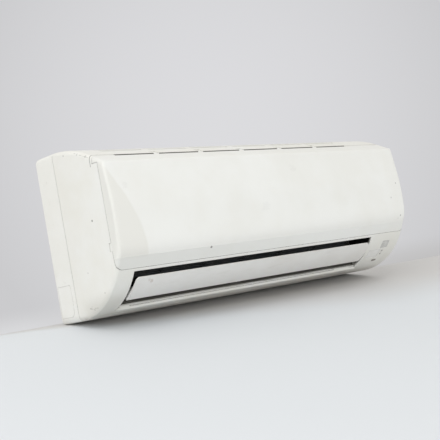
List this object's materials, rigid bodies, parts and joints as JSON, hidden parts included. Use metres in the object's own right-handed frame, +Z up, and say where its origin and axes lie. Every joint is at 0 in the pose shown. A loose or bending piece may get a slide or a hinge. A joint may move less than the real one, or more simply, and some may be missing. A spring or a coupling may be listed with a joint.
{
  "type": "wall-mounted split air conditioner indoor unit",
  "caption": "High-wall air conditioner indoor unit with a hinged front panel, lift-out filters, folded heat exchanger, cross-flow fan, tilting louvre and linked vanes.",
  "frame": {"origin": "centre of the wall plate on the wall's face", "axes": "+X along the unit's length to the right as seen from the front, +Y into the wall, +Z up"},
  "size_m": [0.8, 0.2015, 0.298],
  "materials": {
    "casing_plastic": "satin",
    "chassis_plastic": "matte",
    "vane_plastic": "matte",
    "filter_plastic": "matte",
    "filter_net": "woven",
    "fin_aluminium": "brushed",
    "galvanised_sheet": "satin",
    "copper": "satin",
    "fan_plastic": "matte",
    "shaft_steel": "polished",
    "bearing_bronze": "satin",
    "black_rubber": "matte",
    "motor_casing": "matte",
    "dark_plastic": "matte",
    "circuit_board": "satin",
    "terminal_plastic": "matte",
    "window_plastic": "gloss",
    "lens_plastic": "gloss"
  },
  "bodies": {
    "unit": {"mounting_plate": "galvanised_sheet", "rear_chassis": "chassis_plastic", "pipe_cover_left": "chassis_plastic", "pipe_cover_right": "chassis_plastic", "front_casing": "casing_plastic", "fin_pack_front": "fin_aluminium", "fin_pack_middle": "fin_aluminium", "fin_pack_rear": "fin_aluminium", "tube_plate_left": "galvanised_sheet", "tube_plate_right": "galvanised_sheet", "evaporator_tubes": "copper", "return_bends_left": "copper", "return_bends_right": "copper", "gas_pipe": "copper", "liquid_pipe": "copper", "pipe_clamp": "chassis_plastic", "drain_pan": "dark_plastic", "drain_plug": "black_rubber", "fan_bearing": "bearing_bronze", "bearing_rubber": "black_rubber", "fan_motor": "motor_casing", "motor_strap": "galvanised_sheet", "flap_motor": "galvanised_sheet", "vane_rail_left": "vane_plastic", "vane_rail_right": "vane_plastic", "control_box": "dark_plastic", "control_board": "circuit_board", "control_box_cover": "dark_plastic", "terminal_block": "terminal_plastic", "display_board": "circuit_board", "display_window": "window_plastic", "receiver_window": "window_plastic", "lamp_lenses": "lens_plastic", "casing_screws": "shaft_steel"},
    "panel": {"front_panel": "casing_plastic"},
    "filter_left": {"filter_frame_left": "filter_plastic", "filter_net_left": "filter_net"},
    "filter_right": {"filter_frame_right": "filter_plastic", "filter_net_right": "filter_net"},
    "rotor": {"fan_rotor": "fan_plastic", "fan_stub_shaft": "shaft_steel", "motor_shaft": "shaft_steel"},
    "louvre": {"flap": "casing_plastic", "flap_motor_shaft": "shaft_steel"},
    "button": {"test_button": "dark_plastic"},
    "link_left": {"vane_link_left": "vane_plastic"},
    "link_right": {"vane_link_right": "vane_plastic"},
    "vane1": {"vane_1": "vane_plastic"},
    "vane2": {"vane_2": "vane_plastic"},
    "vane3": {"vane_3": "vane_plastic"},
    "vane4": {"vane_4": "vane_plastic"},
    "vane5": {"vane_5": "vane_plastic"},
    "vane6": {"vane_6": "vane_plastic"},
    "vane7": {"vane_7": "vane_plastic"},
    "vane8": {"vane_8": "vane_plastic"},
    "vane9": {"vane_9": "vane_plastic"},
    "vane10": {"vane_10": "vane_plastic"}
  },
  "joints": [
    {"name": "panel_hinge", "type": "hinge", "parent": "unit", "child": "panel", "pos_m": [-0.035, -0.1525, 0.08747], "axis": [-1, 0, 0], "range_deg": [0, 60]},
    {"name": "filter_left_lift", "type": "slide", "parent": "unit", "child": "filter_left", "axis": [0, 0, 1], "range_m": [0, 0.004]},
    {"name": "filter_right_lift", "type": "slide", "parent": "unit", "child": "filter_right", "axis": [0, 0, 1], "range_m": [0, 0.004]},
    {"name": "fan_spin", "type": "hinge", "parent": "unit", "child": "rotor", "pos_m": [-0.035, -0.093, -0.074], "axis": [1, 0, 0], "continuous": true},
    {"name": "louvre_tilt", "type": "hinge", "parent": "unit", "child": "louvre", "pos_m": [-0.035, -0.12005, -0.1399], "axis": [1, 0, 0], "range_deg": [-8, 44]},
    {"name": "test_button_press", "type": "slide", "parent": "unit", "child": "button", "axis": [0, 0.503, 0.8643], "range_m": [0, 0.0008], "stiffness_N_per_m": 300, "springref_m": -0.0004},
    {"name": "vane1_swing", "type": "hinge", "parent": "unit", "child": "vane1", "pos_m": [-0.296, -0.09547, -0.14225], "axis": [0, -0.6691, 0.7431], "range_deg": [-24, 24]},
    {"name": "vane2_swing", "type": "hinge", "parent": "unit", "child": "vane2", "pos_m": [-0.245, -0.09547, -0.14225], "axis": [0, -0.6691, 0.7431], "range_deg": [-24, 24]},
    {"name": "vanes_left_swing", "type": "hinge", "parent": "unit", "child": "vane3", "pos_m": [-0.194, -0.09547, -0.14225], "axis": [0, -0.6691, 0.7431], "range_deg": [-24, 24]},
    {"name": "vane4_swing", "type": "hinge", "parent": "unit", "child": "vane4", "pos_m": [-0.143, -0.09547, -0.14225], "axis": [0, -0.6691, 0.7431], "range_deg": [-24, 24]},
    {"name": "vane5_swing", "type": "hinge", "parent": "unit", "child": "vane5", "pos_m": [-0.092, -0.09547, -0.14225], "axis": [0, -0.6691, 0.7431], "range_deg": [-24, 24]},
    {"name": "link_left_pivot", "type": "hinge", "parent": "vane3", "child": "link_left", "pos_m": [-0.194, -0.12113, -0.13616], "axis": [0, -0.6691, 0.7431], "range_deg": [-24, 24]},
    {"name": "vane6_swing", "type": "hinge", "parent": "unit", "child": "vane6", "pos_m": [-0.026, -0.09547, -0.14225], "axis": [0, -0.6691, 0.7431], "range_deg": [-24, 24]},
    {"name": "vane7_swing", "type": "hinge", "parent": "unit", "child": "vane7", "pos_m": [0.025, -0.09547, -0.14225], "axis": [0, -0.6691, 0.7431], "range_deg": [-24, 24]},
    {"name": "vanes_right_swing", "type": "hinge", "parent": "unit", "child": "vane8", "pos_m": [0.076, -0.09547, -0.14225], "axis": [0, -0.6691, 0.7431], "range_deg": [-24, 24]},
    {"name": "vane9_swing", "type": "hinge", "parent": "unit", "child": "vane9", "pos_m": [0.127, -0.09547, -0.14225], "axis": [0, -0.6691, 0.7431], "range_deg": [-24, 24]},
    {"name": "vane10_swing", "type": "hinge", "parent": "unit", "child": "vane10", "pos_m": [0.178, -0.09547, -0.14225], "axis": [0, -0.6691, 0.7431], "range_deg": [-24, 24]},
    {"name": "link_right_pivot", "type": "hinge", "parent": "vane8", "child": "link_right", "pos_m": [0.076, -0.12113, -0.13616], "axis": [0, -0.6691, 0.7431], "range_deg": [-24, 24]}
  ],
  "couplings": [
    {"joint": "vane1_swing", "follows": "vanes_left_swing", "ratio": 1},
    {"joint": "vane2_swing", "follows": "vanes_left_swing", "ratio": 1},
    {"joint": "vane4_swing", "follows": "vanes_left_swing", "ratio": 1},
    {"joint": "vane5_swing", "follows": "vanes_left_swing", "ratio": 1},
    {"joint": "link_left_pivot", "follows": "vanes_left_swing", "ratio": -1},
    {"joint": "vane6_swing", "follows": "vanes_right_swing", "ratio": 1},
    {"joint": "vane7_swing", "follows": "vanes_right_swing", "ratio": 1},
    {"joint": "vane9_swing", "follows": "vanes_right_swing", "ratio": 1},
    {"joint": "vane10_swing", "follows": "vanes_right_swing", "ratio": 1},
    {"joint": "link_right_pivot", "follows": "vanes_right_swing", "ratio": -1}
  ]
}
